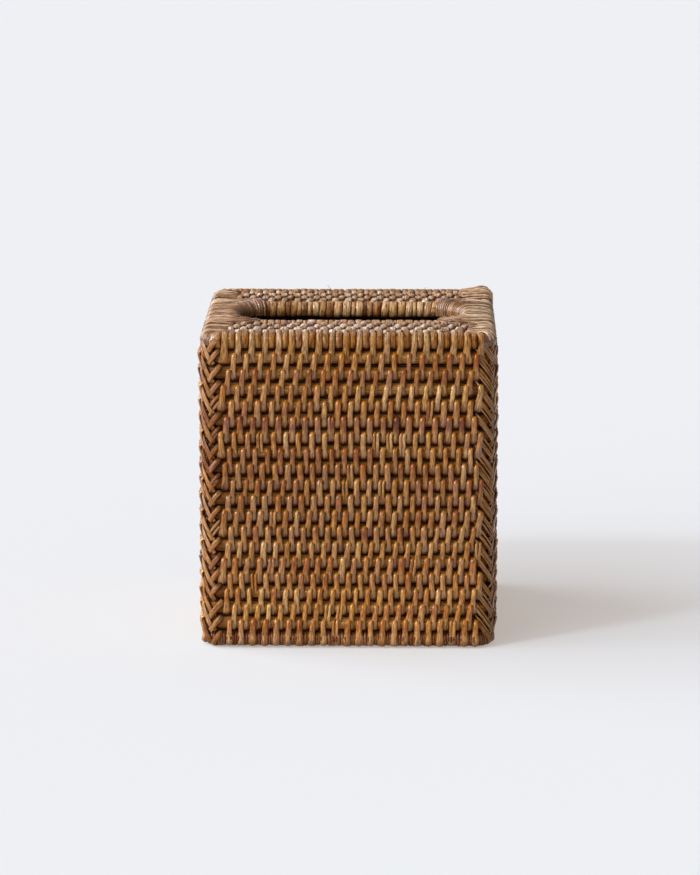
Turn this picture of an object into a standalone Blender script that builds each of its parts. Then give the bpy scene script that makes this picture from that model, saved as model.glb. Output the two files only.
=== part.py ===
"""Woven rattan tissue box cover, an open-bottomed box with a bound slot in its top.

Rattan core rods are stacked into the four walls, course upon course, with a stitching strand
between each two courses. The corners are laced, the top is a stitched panel of rods round a bound
hoop, and the foot and the side edges of the top are bound with split cane.
Metres, +Z up. The origin is the middle of the foot, and the front faces -Y.
"""

import math

import bmesh
import bpy
from mathutils import Vector

# Driving sizes
WIDTH = 0.140  # across the side walls, over the binding
DEPTH = 0.140  # front to back, over the lacing
COURSES = 20  # rods in the height of a wall
ROD_DIAMETER = 0.0065  # rattan core
CORNER_RADIUS = 0.0065  # of a wall rod's centre line
PANEL_ROWS = 4  # rods of the top before the slot, and as many behind it
SLOT_CORNER_RADIUS = 0.0155  # of the clear opening between the bindings

# Split cane and how it lies
CANE_THICKNESS = 0.0007  # of a binding
STRAND_THICKNESS = 0.00045  # of a stitching strand pressed flat between two rods
STRAND_WIDTH = 0.0026
TURN_WIDTH = 0.0052  # of one turn of the slot binding, two strands side by side
TURN_RELIEF = 0.0003  # how far a turn's middle stands above its edges
SEAT_GAP = 0.0003  # between pieces that lie against each other
ROD_END_GAP = 0.0004  # where the two ends of a bent rod meet
SEAM_STEP = 0.016  # how far the rods' meeting ends are shifted from course to course

# Lacing at the corners
LACE_THICKNESS = 0.0005  # of the plaited cane where it lies in one layer
LACE_RELIEF = 0.0009  # how far each turn climbs over the one below it, at the corner
LACE_REACH = 0.0010  # past the round of the corner, on each wall
LACE_DROP = 0.0070  # how far a turn falls from a wall to the corner

# Top panel
LEG_SPACING = 0.020  # between the strand's runs under the rods
BAND_LAP = 0.0052  # how far a side binding lies over the panel rods' ends
FAN_START = math.radians(75)  # where the fan leaves the hoop, from the slot's long axis

# How finely round shapes are cut
ROD_SIDES = 8
ROD_CORNER_STEPS = 3
STRAND_CORNER_STEPS = 2
HOOP_CORNER_STEPS = 5
LACE_COLUMNS = 4
SEAM_PLACES = 3

# Worked out from the driving sizes
ROD_RADIUS = ROD_DIAMETER / 2
BOUND_RADIUS = ROD_RADIUS + SEAT_GAP + CANE_THICKNESS
COURSE_PITCH = ROD_DIAMETER + STRAND_THICKNESS + 2 * SEAT_GAP
FOOT_ROD_Z = BOUND_RADIUS
TOP_ROD_Z = FOOT_ROD_Z + (COURSES - 1) * COURSE_PITCH
EDGE_X = WIDTH / 2 - BOUND_RADIUS
EDGE_Y = DEPTH / 2 - BOUND_RADIUS
PANEL_FIRST_Y = EDGE_Y - PANEL_ROWS * COURSE_PITCH
HOOP_X = EDGE_X - ROD_RADIUS - SEAT_GAP - BOUND_RADIUS
HOOP_Y = PANEL_FIRST_Y - ROD_RADIUS - SEAT_GAP - BOUND_RADIUS
HOOP_CORNER_RADIUS = min(SLOT_CORNER_RADIUS + BOUND_RADIUS, HOOP_Y - SEAT_GAP)
HOOP_LENGTH = 4 * (HOOP_X + HOOP_Y) - (8 - 2 * math.pi) * HOOP_CORNER_RADIUS
FLAT_SHARE = math.tan(math.pi / ROD_SIDES)  # half a flat's width, as a share of its distance


def new_material(name, color, roughness):
    """A plain finish for the solids."""
    material = bpy.data.materials.new(name)
    material.use_nodes = True
    shader = material.node_tree.nodes["Principled BSDF"]
    shader.inputs["Base Color"].default_value = (*color, 1.0)
    shader.inputs["Roughness"].default_value = roughness
    shader.inputs["Metallic"].default_value = 0.0
    return material


def start_scene():
    """Clears the scene, and makes the collections and the finishes."""
    for item in list(bpy.data.objects):
        bpy.data.objects.remove(item)
    for name in ("tissue_box_cover", "guides"):
        collection = bpy.data.collections.new(name)
        bpy.context.scene.collection.children.link(collection)
    return {
        "core": new_material("rattan_core", (0.27, 0.15, 0.07), 0.75),
        "cane": new_material("split_cane", (0.46, 0.26, 0.11), 0.45),
        "binding": new_material("bound_cane", (0.36, 0.21, 0.10), 0.55),
    }


def add_object(name, data, material=None, guide=False):
    """An object in the cover's collection or, for a guide, in the one that isn't part of it."""
    item = bpy.data.objects.new(name, data)
    bpy.data.collections["guides" if guide else "tissue_box_cover"].objects.link(item)
    if guide:
        item.hide_render = True
        item.display_type = "WIRE"
    if material:
        data.materials.append(material)
    return item


def spline_of(curve, points, closed, radii=None):
    """Adds one spline of straight stretches through the points."""
    spline = curve.splines.new("POLY")
    spline.points.add(len(points) - 1)
    for place, point in enumerate(points):
        spline.points[place].co = (*Vector(point).to_3d(), 1.0)
        spline.points[place].radius = radii[place] if radii else 1.0
    spline.use_cyclic_u = closed


def sweep(name, points, section, material=None, closed=False, radii=None, guide=False):
    """A section, drawn with its second axis up, carried along a level path."""
    outline = bpy.data.curves.new(name + "_section", "CURVE")
    outline.dimensions = "2D"
    spline_of(outline, section, closed=True)
    curve = bpy.data.curves.new(name, "CURVE")
    curve.dimensions = "3D"
    curve.twist_mode = "Z_UP"
    curve.bevel_mode = "OBJECT"
    curve.bevel_object = add_object(name + "_section", outline, guide=True)
    curve.use_fill_caps = not closed
    spline_of(curve, points, closed, radii)
    return add_object(name, curve, material, guide)


def made_mesh(item):
    """The item again as a mesh with its caps closed, so that it can be cut and joined."""
    graph = bpy.context.evaluated_depsgraph_get()
    data = bpy.data.meshes.new_from_object(item.evaluated_get(graph))
    work = bmesh.new()
    work.from_mesh(data)
    bmesh.ops.remove_doubles(work, verts=work.verts, dist=SEAT_GAP / 100)
    bmesh.ops.recalc_face_normals(work, faces=work.faces)
    work.to_mesh(data)
    work.free()
    name, guide, place = item.name, item.hide_render, item.matrix_world.copy()
    bpy.data.objects.remove(item)
    solid = add_object(name, data, guide=guide)
    solid.matrix_world = place
    return solid


def boolean(item, other, operation):
    """Cuts or joins the item with another, which then stays as a guide."""
    step = item.modifiers.new(operation.lower(), "BOOLEAN")
    step.operation = operation
    step.object = other
    other.hide_render = True
    other.display_type = "WIRE"


def flats(inradius):
    """A rod's section, with flats at its top, bottom and sides."""
    radius = inradius / math.cos(math.pi / ROD_SIDES)
    turns = [-(step + 0.5) * 2 * math.pi / ROD_SIDES for step in range(ROD_SIDES)]
    return [(radius * math.cos(turn), radius * math.sin(turn)) for turn in turns]


def channel(inner, outer):
    """A channel's section, under a rod and up both its sides."""
    inner_flat, outer_flat = inner * FLAT_SHARE, outer * FLAT_SHARE
    outside = [(outer, outer_flat), (outer, -outer_flat), (outer_flat, -outer)]
    inside = [(inner, inner_flat), (inner, -inner_flat), (inner_flat, -inner)]
    left = [(-x, y) for x, y in outside[::-1]] + [(-x, y) for x, y in inside]
    return outside + left + inside[::-1]


def cap(inner, outer, flange):
    """A cap's section, up the right side of a rod and over its top to the end of a flat flange."""
    inner_flat, outer_flat = inner * FLAT_SHARE, outer * FLAT_SHARE
    under = [(inner, -inner_flat), (inner, inner_flat), (inner_flat, inner), (-flange, inner)]
    over = [(-flange, outer), (outer_flat, outer), (outer, outer_flat), (outer, -outer_flat)]
    return under + over


def bar(half_width, half_height):
    """A flat strand's section."""
    return [
        (half_width, half_height),
        (half_width, -half_height),
        (-half_width, -half_height),
        (-half_width, half_height),
    ]


def round_corner(centre_x, centre_y, radius, start, steps):
    """Points of a quarter turn to the right, which begins at the angle start."""
    turns = [start - step * math.pi / 2 / steps for step in range(steps + 1)]
    return [
        (centre_x + radius * math.cos(turn), centre_y + radius * math.sin(turn))
        for turn in turns
    ]


def wall_loop(z, steps, seam=None):
    """The way round the four walls at a height. With a seam, it starts and ends there, at the back."""
    middle_x, middle_y = EDGE_X - CORNER_RADIUS, EDGE_Y - CORNER_RADIUS
    corners = ((1, 1, 90), (1, -1, 0), (-1, -1, -90), (-1, 1, -180))
    loop = []
    for side_x, side_y, start in corners:
        loop += round_corner(
            side_x * middle_x,
            side_y * middle_y,
            CORNER_RADIUS,
            math.radians(start),
            steps,
        )
    if seam is not None:
        half_gap = ROD_END_GAP / 2
        loop = [(seam + half_gap, EDGE_Y), *loop, (seam - half_gap, EDGE_Y)]
    return [(x, y, z) for x, y in loop]


def course_z(course):
    """Height of a wall rod's middle. The foot's course is 0."""
    return FOOT_ROD_Z + course * COURSE_PITCH


def wall_rods(finishes):
    """One bent rod for each course, whose two ends meet at the back."""
    for course in range(COURSES):
        seam = (course % SEAM_PLACES - (SEAM_PLACES - 1) / 2) * SEAM_STEP
        path = wall_loop(course_z(course), ROD_CORNER_STEPS, seam)
        sweep(f"wall_rod_{course + 1:02d}", path, flats(ROD_RADIUS), finishes["core"])


def course_strands(finishes):
    """The strand that stitches each course to the next, where it lies between the two rods."""
    section = bar(STRAND_WIDTH / 2, STRAND_THICKNESS / 2)
    for course in range(COURSES - 1):
        z = course_z(course) + COURSE_PITCH / 2
        path = wall_loop(z, STRAND_CORNER_STEPS)
        name = f"course_strand_{course + 1:02d}"
        sweep(name, path, section, finishes["cane"], closed=True)


def foot_binding(finishes):
    """Cane bound round the lowest rod, flat where the cover stands."""
    section = channel(ROD_RADIUS + SEAT_GAP, BOUND_RADIUS)
    path = wall_loop(FOOT_ROD_Z, ROD_CORNER_STEPS)
    sweep("foot_binding", path, section, finishes["binding"], closed=True)


def panel_rows(side):
    """Places of the top panel's rods from the slot out to the edge, on one side of it."""
    return [side * (PANEL_FIRST_Y + row * COURSE_PITCH) for row in range(PANEL_ROWS)]


def panel_rod_reach(y):
    """How far a panel rod runs to each side, up to the top wall rod and inside its corner's round."""
    inside = CORNER_RADIUS - ROD_RADIUS - SEAT_GAP
    past = min(inside, max(0, abs(y) + ROD_RADIUS - (EDGE_Y - CORNER_RADIUS)))
    return EDGE_X - CORNER_RADIUS + math.sqrt(inside**2 - past**2)


def panel_rods(finishes):
    """Straight rods before and behind the slot, whose ends butt against the top wall rod."""
    for name, side in (("front", -1), ("back", 1)):
        for row, y in enumerate(panel_rows(side)):
            ends = [(end * panel_rod_reach(y), y, TOP_ROD_Z) for end in (-1, 1)]
            label = f"{name}_panel_rod_{row + 1}"
            sweep(label, ends, flats(ROD_RADIUS), finishes["core"])


def add_block(name, low, high, material=None, guide=False):
    """A box between two corners."""
    work = bmesh.new()
    bmesh.ops.create_cube(work, size=1)
    bmesh.ops.scale(work, vec=Vector(high) - Vector(low), verts=work.verts)
    data = bpy.data.meshes.new(name)
    work.to_mesh(data)
    work.free()
    item = add_object(name, data, material, guide)
    item.location = (Vector(high) + Vector(low)) / 2
    return item


def panel_strands(finishes):
    """The strand of each half of the top panel: its runs between the rods, and its legs under them."""
    reach = EDGE_X - CORNER_RADIUS
    run_half = STRAND_THICKNESS / 2
    leg_z = TOP_ROD_Z - BOUND_RADIUS
    legs = int(reach / LEG_SPACING)
    for name, side in (("front", -1), ("back", 1)):
        runs = [y + side * COURSE_PITCH / 2 for y in panel_rows(side)]
        near, far = min(runs), max(runs)
        strand = None
        for place, y in enumerate(runs):
            low = (-reach, y - run_half, leg_z)
            high = (reach, y + run_half, TOP_ROD_Z + ROD_RADIUS * FLAT_SHARE)
            if strand:
                boolean(strand, add_block(f"{name}_run_{place}", low, high, guide=True), "UNION")
            else:
                strand = add_block(f"{name}_panel_strand", low, high, finishes["cane"])
        for place in range(-legs, legs + 1):
            x = place * LEG_SPACING
            low = (x - STRAND_WIDTH / 2, near, leg_z)
            high = (x + STRAND_WIDTH / 2, far, leg_z + CANE_THICKNESS)
            boolean(strand, add_block(f"{name}_leg_{place}", low, high, guide=True), "UNION")


def hoop_point(distance):
    """A point so far along the hoop's centre line, clockwise from the middle of its back."""
    radius = HOOP_CORNER_RADIUS
    along, across = HOOP_X - radius, HOOP_Y - radius
    point, heading = Vector((0, HOOP_Y)), 0.0
    for straight in (along, 2 * across, 2 * along, 2 * across, along):
        step = min(distance, straight)
        point += step * Vector((math.cos(heading), math.sin(heading)))
        distance -= step
        turned = min(distance / radius, math.pi / 2)
        point += radius * Vector((math.sin(heading), -math.cos(heading)))
        heading -= turned
        point -= radius * Vector((math.sin(heading), -math.cos(heading)))
        distance -= turned * radius
    return (point.x, point.y, TOP_ROD_Z)


def hoop_loop(gap):
    """The hoop's path in few points, as steps round its corners between its two ends."""
    along, across = HOOP_X - HOOP_CORNER_RADIUS, HOOP_Y - HOOP_CORNER_RADIUS
    bend, start = HOOP_CORNER_RADIUS * math.pi / 2, 0.0
    places = [gap / 2]
    for straight in (along, 2 * across, 2 * along, 2 * across):
        start += straight
        places += [start + step * bend / HOOP_CORNER_STEPS for step in range(HOOP_CORNER_STEPS + 1)]
        start += bend
    places.append(HOOP_LENGTH - gap / 2)
    return [hoop_point(place) for place in places]


def slot_hoop(finishes):
    """The rod bent into the slot's long loop, and the cane bound round it, one rib for each turn."""
    sweep("slot_hoop", hoop_loop(ROD_END_GAP), flats(ROD_RADIUS), finishes["core"])
    steps = 2 * round(HOOP_LENGTH / TURN_WIDTH)
    places = [
        ROD_END_GAP / 2 + (HOOP_LENGTH - ROD_END_GAP) * step / steps for step in range(steps + 1)
    ]
    radii = [1 if step % 2 else 1 - TURN_RELIEF / BOUND_RADIUS for step in range(steps + 1)]
    path = [hoop_point(place) for place in places]
    binding = made_mesh(sweep("slot_binding", path, flats(BOUND_RADIUS), radii=radii))
    binding.data.materials.append(finishes["binding"])
    loop = hoop_loop(gap=0)[1:-1]
    bore = sweep("slot_bore", loop, flats(ROD_RADIUS + SEAT_GAP), closed=True, guide=True)
    boolean(binding, made_mesh(bore), "DIFFERENCE")


def band_outline(side, reach):
    """What a side binding leaves free of the top: the slot with its hoop, and the panel rods."""
    band = EDGE_X - ROD_RADIUS - SEAT_GAP - BAND_LAP
    half = PANEL_FIRST_Y - ROD_RADIUS - SEAT_GAP
    around = HOOP_CORNER_RADIUS + BOUND_RADIUS + SEAT_GAP
    middle_x, middle_y = HOOP_X - HOOP_CORNER_RADIUS, HOOP_Y - HOOP_CORNER_RADIUS
    turns = [FAN_START * (1 - step / HOOP_CORNER_STEPS) for step in range(HOOP_CORNER_STEPS + 1)]
    arc = [
        (middle_x + around * math.cos(turn), middle_y + around * math.sin(turn)) for turn in turns
    ]
    back = [(0, reach), (band, reach), (band, half), (arc[0][0], half), *arc]
    front = [(x, -y) for x, y in reversed(back)]
    return [(side * x, y) for x, y in back + front]


def side_bindings(finishes):
    """Cane bound over the side edges of the top, with the fan that ties the hoop's end to it."""
    inner, outer = ROD_RADIUS + SEAT_GAP, BOUND_RADIUS
    fan_x = HOOP_X - HOOP_CORNER_RADIUS
    section = cap(inner, outer, flange=EDGE_X - fan_x)
    reach = EDGE_Y - CORNER_RADIUS - LACE_REACH - SEAT_GAP
    for name, side in (("left", -1), ("right", 1)):
        ends = [(side * EDGE_X, -side * end * reach, TOP_ROD_Z) for end in (1, -1)]
        binding = made_mesh(sweep(f"{name}_edge_binding", ends, section))
        binding.data.materials.append(finishes["binding"])
        outline = bpy.data.curves.new(f"{name}_band", "CURVE")
        outline.dimensions = "2D"
        outline.fill_mode = "BOTH"
        outline.extrude = BOUND_RADIUS
        spline_of(outline, band_outline(side, reach=DEPTH / 2), closed=True)
        band = add_object(f"{name}_band", outline, guide=True)
        band.location.z = TOP_ROD_Z + (inner + outer) / 2
        bpy.context.view_layer.update()
        boolean(binding, made_mesh(band), "DIFFERENCE")


def lace_column(share):
    """Place and outward direction on a corner's round, from -1 on one wall to 1 on the other."""
    inner = CORNER_RADIUS + ROD_RADIUS + SEAT_GAP
    radius = inner / math.cos(math.pi / 4 / LACE_COLUMNS)
    turn = math.pi / 4 * (1 + share)
    return radius * math.cos(turn), radius * math.sin(turn)


def lacing_place(column, row, last_row, low, high):
    """A point of the plaited strip. Each turn falls to the corner, and climbs over the one below."""
    if column in (0, LACE_COLUMNS + 2):
        share = -1 if column == 0 else 1
    else:
        share = 2 * (column - 1) / LACE_COLUMNS - 1
    x, y = lace_column(share)
    outward = Vector((x, y)).normalized()
    if column == 0:
        y -= LACE_REACH
        outward = Vector((1, 0))
    if column == LACE_COLUMNS + 2:
        x -= LACE_REACH
        outward = Vector((0, 1))
    lift = LACE_THICKNESS + (0 if row % 2 else LACE_RELIEF * (1 - abs(share)))
    level = low + (high - low) * row / last_row
    ramp = min(1, min(level - low, high - level) / LACE_DROP)
    fall = LACE_DROP / 2 * ramp * (1 - 2 * (1 - abs(share)))
    point = Vector((x, y)) + outward * lift
    return (point.x, point.y, level + fall)


def corner_lacing(finishes):
    """Cane plaited down each corner in a herringbone, a turn for each course."""
    low = FOOT_ROD_Z + BOUND_RADIUS * FLAT_SHARE + SEAT_GAP
    high = TOP_ROD_Z + ROD_RADIUS * FLAT_SHARE
    columns, rows = LACE_COLUMNS + 2, 2 * (COURSES - 1)
    middle_x, middle_y = EDGE_X - CORNER_RADIUS, EDGE_Y - CORNER_RADIUS
    for side_x, side_y in ((-1, -1), (1, -1), (-1, 1), (1, 1)):
        name = f"{'front' if side_y < 0 else 'back'}_{'left' if side_x < 0 else 'right'}_lacing"
        work = bmesh.new()
        bmesh.ops.create_grid(work, x_segments=columns, y_segments=rows, size=1)
        for vertex in work.verts:
            column = round((vertex.co.x + 1) / 2 * columns)
            row = round((vertex.co.y + 1) / 2 * rows)
            x, y, z = lacing_place(column, row, rows, low, high)
            vertex.co = (side_x * (middle_x + x), side_y * (middle_y + y), z)
        data = bpy.data.meshes.new(name)
        work.to_mesh(data)
        work.free()
        if side_x != side_y:
            data.flip_normals()
        lacing = add_object(name, data, finishes["cane"])
        wall = lacing.modifiers.new("thickness", "SOLIDIFY")
        wall.thickness = LACE_THICKNESS
        wall.offset = -1


def build():
    """Makes every piece of the cover."""
    finishes = start_scene()
    wall_rods(finishes)
    course_strands(finishes)
    foot_binding(finishes)
    panel_rods(finishes)
    panel_strands(finishes)
    slot_hoop(finishes)
    side_bindings(finishes)
    corner_lacing(finishes)


build()
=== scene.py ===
"""Looks of the woven rattan tissue box cover: round core rods, stitches of split cane, plaits and
wraps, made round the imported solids. Metres, +Z up, front to -Y."""

import math
import random

import bpy
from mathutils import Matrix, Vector


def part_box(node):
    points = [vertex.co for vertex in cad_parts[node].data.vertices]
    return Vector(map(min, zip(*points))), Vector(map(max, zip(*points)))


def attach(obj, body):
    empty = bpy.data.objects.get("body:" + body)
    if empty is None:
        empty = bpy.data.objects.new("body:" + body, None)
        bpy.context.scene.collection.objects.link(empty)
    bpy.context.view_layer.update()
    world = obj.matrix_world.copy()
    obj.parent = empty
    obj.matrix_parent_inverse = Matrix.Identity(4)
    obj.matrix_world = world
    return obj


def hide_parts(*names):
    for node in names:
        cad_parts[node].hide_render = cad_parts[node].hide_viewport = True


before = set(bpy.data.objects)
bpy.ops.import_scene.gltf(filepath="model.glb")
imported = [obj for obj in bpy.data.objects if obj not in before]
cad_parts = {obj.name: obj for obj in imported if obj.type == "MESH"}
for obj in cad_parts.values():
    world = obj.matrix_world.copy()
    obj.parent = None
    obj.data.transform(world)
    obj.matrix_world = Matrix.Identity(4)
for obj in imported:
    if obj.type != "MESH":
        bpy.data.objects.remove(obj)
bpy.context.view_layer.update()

MM = 0.001
UP = Vector((0, 0, 1))
rng = random.Random(41)

# Sizes that the solids share with this script
WALL_BEND = 0.0065  # radius of a wall rod's centre line at a corner
HOOP_BEND = 0.01975  # radius of the hoop's centre line at its rounds
SEAM_STEP = 0.016  # how far the places where a bent rod's ends meet are shifted between courses
SEAM_PLACES = 3

# Stitches
STITCH_WIDTH = 0.0030
STITCH_THICKNESS = 0.00105
TOP_PITCH = 0.00634  # between stitches in the top courses
FOOT_PITCH = 0.00558  # and in the lowest one
EVEN_ROWS = 3  # that keep the top pitch
ROW_SHIFT_SHARE = 0.370  # how far each row lies to the left of the one above, in pitches
PANEL_SHIFT_SHARE = 0.47  # and each row of the top panel
STITCH_START = 0.0581  # from a wall's middle to its first stitch, at the left
STITCH_LEFT = 0.0598  # the furthest that a stitch lies to the left
STITCH_RIGHT = 0.0628  # and to the right, a little round the corner
ROW_TONES = ((0, 0.0), (3, 0.0), (8, -0.09), (12, 0.0), (16, 0.10), (18, 0.12))  # by row
SPLIT_CHANCE = 0.06  # of a stitch that is two narrow strands
SPLIT_GIRTH = 0.55
SPLIT_APART = 0.27  # of a stitch's width, from its middle to each of the two
SPLIT_TONE = 0.1
HEAD_TURN = (-4, 4)  # degrees by which the heads differ
TAIL_TURN = (-5, 3)
HEAD_RISE = (-0.12, 0.14)  # millimetres, past RISE_FROM degrees before the crown
RISE_FROM = 40
EDGE_BENDS = 3  # of a stitch that goes over the edge of the top
LOWEST = 0.00095  # of a strand's middle

# The hoop's wraps, the side bands and the foot
WRAP_WIDTH = 0.0037  # on the hoop
WRAP_HALF = 0.49  # of a wrap's width, which it takes up on each side of its middle
WRAP_GIRTHS = (0.55, 0.7, 0.85, 0.95, 1.05, 1.2)
BACK_DARKER = 0.22  # how much darker the left end of the hoop's back is
FINE_WIDTH = 0.00125  # on the side edges
FINE_HALF = 0.48
FOOT_WRAP_WIDTH = 0.0015
FOOT_WRAP_HALF = 0.45
FOOT_WRAP_GIRTHS = (0.7, 0.9, 1.0, 1.15)
BAND_INNER_X = 0.0570  # inner edge of a side band
FAN_START = math.radians(75)  # where the fan leaves the hoop, from the slot's long axis
BAND_END = math.radians(66)  # how far a band goes round a corner
BAND_GAP = 0.0005  # between its bundles
UNDER_STRANDS = 26  # of each part of a side band, below the fine ones
UNDER_TONE = 0.12
UNDER_GIRTH = 2.0
DARK_CHANCE = 0.16  # of a dark strand in a bundle
DARK_TONE = 0.12
RIGHT_PALER = 0.34  # how much paler the right band's bundles are
RIB_DEPTH = 0.0007  # how far a band sinks between the panel rods' ends
BUNDLE_CROWN = 0.0005  # how much a bundle rises in its middle
RAISED_STRANDS = (44.0, 46.5, 50.0, 53.0, 56.0, 58.5, 60.5, 62.5, 64.5, 67.0)  # millimetres along
PILE_FROM = 48  # where they start to pile up, and how high and how far along the pile is
PILE_HEIGHT = 1.3
PILE_LENGTH = 19
# Degrees round the top rod of a side, and the share there of a strand's lift
EDGE_TURNS = ((-74, -0.9), (-56, -0.3), (-28, 0.0), (5, 0.15), (34, 0.7), (60, 0.95), (86, 1.0))
SLOT_TURNS = (70, 95, 122, 150, 180, 215)  # degrees round the end of the hoop

# The plaits
PLAIT_WIDTH = 0.0030
PLAIT_RIDGE = 0.0023  # how far past a corner's diagonal its arms meet, going round to the right
PLAIT_REACH = 0.0067  # from the diagonal to an arm's start
PLAIT_SLOPE = 1.36  # of an arm
PLAIT_SPACING = 1.4  # of an arm's strands, in their widths
PLAIT_BOW = 0.0005
TOP_ARM_PALER = 0.3
RIGHT_PLAIT_PALER = 0.75
SHARED_GIRTHS = (1.0, 0.56, 0.36, 0.30)  # of one to four strands in an arm
# Share of an arm's run, and its lift there in millimetres
ARM_LIFTS = (
    (0, -2.2), (0.09, -0.7), (0.2, 0.2), (0.42, 0.35), (0.6, 0.45), (0.76, 0.7), (0.9, 0.55), (1, -0.3)
)

# Sizes of the sweep for each kind of strand
COURSE_CANE = {"Width": STITCH_WIDTH, "Thickness": STITCH_THICKNESS}
INNER_CANE = {"Width": STITCH_WIDTH, "Thickness": STITCH_THICKNESS * 0.8, "Sides": 6}
EDGE_CANE = {"Width": 0.0031, "Thickness": STITCH_THICKNESS * 0.6, "Roundness": 0.45, "Seed": 29}
PANEL_CANE = {"Width": 0.0031, "Thickness": STITCH_THICKNESS * 0.85, "Roundness": 0.6, "Seed": 31}
HOOP_CANE = {
    "Width": WRAP_WIDTH, "Thickness": 0.00042, "Roundness": 0.38, "Unevenness": 0.04, "Seed": 5
}
BAND_CANE = {
    "Width": FINE_WIDTH, "Thickness": 0.0006, "Roundness": 0.55, "Unevenness": 0.12, "Sides": 6, "Seed": 7
}
FOOT_CANE = {"Width": FOOT_WRAP_WIDTH, "Thickness": 0.0007, "Unevenness": 0.05, "Sides": 6, "Seed": 9}
PLAIT_CANE = {"Width": PLAIT_WIDTH, "Thickness": 0.0008, "Seed": 11}
LOOSE_CANE = {"Width": 0.00028, "Thickness": 0.00014, "Back Share": 1.0, "Sides": 5, "Seed": 3}
ROD_END_GAP = 0.00004  # between the two ends of a bent rod, which look joined
ROD_SIDES = 18

# How the finishes vary
DEPTH_OF_GREEN = 1.25  # how much faster than red it sinks in the cane's dark fibres
DEPTH_OF_BLUE = 1.6
FIBRE_ALONG, FIBRE_ACROSS = 280.0, 3.1  # the noise in a strand's skin, by length and by half width
PATCH_ALONG = 210.0
GRAIN_ALONG, GRAIN_ACROSS = 110.0, 5.5  # and in a bare rod
CLOUD_ALONG = 90.0
CANE_SORTS, CORE_SORTS = 57.0, 31.0  # how far apart two strands lie in the noise
MOST = (0.3, 0.7)  # where most values of a noise lie
OWN_SHARE = 0.22  # of a strand's own number in its colour
PATCH_SHARE = 0.55
GLAZE_IOR = 1.75  # of the shiniest skins
# A strand's colour past tail_from, where it lies over the next rod: paler and duller
TAIL_SHARE = 0.75
TAIL_REACH = 0.0015
TAIL_COLOR = (0.375, 0.180, 0.046, 1)
UNDER_FROM, UNDER_TO, UNDER_SHADE = 0.003, 0.005, 0.5  # painted shade past the tail's paler part, where it goes under the next stitch
# Painted sheen of the sky on the tops of the edge stitches and the hoop's wraps: paler above a height
SHEEN_SHARE = 0.75
SHEEN_REACH = 0.0025
SHEEN_COLOR = (0.500, 0.300, 0.180, 1)
# Painted shade inside the slot's ends: the fanned cane browner nearer the slot's middle
SLOT_SHADE_SHARE = 0.85
SLOT_SHADE_REACH = 0.007
SLOT_SHADE_COLOR = (0.330, 0.150, 0.058, 1)
FOOT_PALE = 1.2
FOOT_HEIGHTS = (0.018, 0.062)  # from the pale foot to the brown middle
MIDDLE_BROWN = 0.88
TOP_HEIGHTS = (0.085, 0.115)  # and on to the top
GROOVE_SHADE = 0.36  # painted shade of a bare rod, below and above, by the next one
CORNER_SHADE = 0.42  # painted shade, with some real stain, of the rods under a plait
CORNER_FROM = 0.0535
CORNER_REACH = 0.006

# Colours from dark to light
WALL_PALETTE = (
    (0.163, 0.032, 0.001), (0.297, 0.069, 0.002), (0.383, 0.119, 0.005),
    (0.449, 0.175, 0.016), (0.536, 0.251, 0.048), (0.661, 0.366, 0.111),
)
EDGE_PALETTE = (
    (0.129, 0.031, 0.003), (0.223, 0.072, 0.007), (0.287, 0.109, 0.016),
    (0.337, 0.145, 0.029), (0.396, 0.193, 0.055), (0.485, 0.276, 0.113),
)
TOP_PALETTE = (
    (0.139, 0.055, 0.023), (0.349, 0.192, 0.108), (0.524, 0.345, 0.230),
    (0.687, 0.513, 0.393), (0.838, 0.702, 0.583),
)
BAND_PALETTE = (
    (0.108, 0.033, 0.008), (0.304, 0.139, 0.054), (0.480, 0.274, 0.145),
    (0.636, 0.418, 0.256), (0.784, 0.595, 0.410),
)
HOOP_PALETTE = (
    (0.164, 0.053, 0.011), (0.391, 0.176, 0.051), (0.582, 0.324, 0.132),
    (0.673, 0.421, 0.212), (0.744, 0.563, 0.377),
)
PLAIT_PALETTE = (
    (0.062, 0.012, 0.002), (0.134, 0.034, 0.005), (0.199, 0.065, 0.012),
    (0.273, 0.103, 0.024), (0.363, 0.166, 0.050),
)
CORE_PALETTE = ((0.194, 0.069, 0.010), (0.321, 0.133, 0.028), (0.446, 0.218, 0.061))
# The inside's stitching cane: a darker copy of the outside's, as painted shade
INNER_PALETTE = ((0.084, 0.016, 0.002), (0.145, 0.034, 0.004), (0.230, 0.063, 0.010))
# The cane deep between the rods: painted dark, as shade
DEEP_SHADE_PALETTE = ((0.030, 0.006, 0.001), (0.090, 0.024, 0.003))
HOOP_CORE_PALETTE = ((0.060, 0.022, 0.008), (0.160, 0.070, 0.028))
# Where the colours of a palette lie, by how many they are
COLOR_PLACES = {
    6: (0.00, 0.20, 0.42, 0.62, 0.82, 1.00),
    5: (0.00, 0.25, 0.50, 0.75, 1.00),
    3: (0.25, 0.50, 0.75),
    2: (0.35, 0.70),
}

# The camera of the photograph, fitted to the cover's outline
IMAGE_HEIGHT = 875
SENSOR = 36.0
CAMERA_LENS = 4027.83 / IMAGE_HEIGHT * SENSOR
CAMERA_PLACE = (0.03131, -1.93111, 0.46669)
CAMERA_DOWN = math.radians(11.073)
CAMERA_TURN = math.radians(0.932)

# Lights: the way towards each, how wide it is in degrees, and its strength
WINDOW = ((-0.85, 0.17, 0.50), 52, 1.9)
GLEAM = ((-0.62, -0.46, 0.64), 8, 0.85)
ROOM_COLOR = (0.97, 0.98, 1.0, 1)
ROOM_LIGHT = (0.46, 0.21)  # from the window's side and from the other one
SCREEN = (-0.73, -0.55, 0.41)  # towards a wide lit screen in the room
SCREEN_LIGHT = 4.1
SCREEN_FOCUS = 10

FLOOR_SIZE = 30
FLOOR_COLOR = (0.408, 0.468, 0.535, 1)  # as the camera sees it
FLOOR_GLOW = (0.418, 0.361, 0.317, 1)  # which softens its shadows
FLOOR_BOUNCE = (0.60, 0.60, 0.61, 1)  # that it throws back on the cover


def middle_of(node):
    """Middle of a solid's box."""
    low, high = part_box(node)
    return (low + high) / 2


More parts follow.
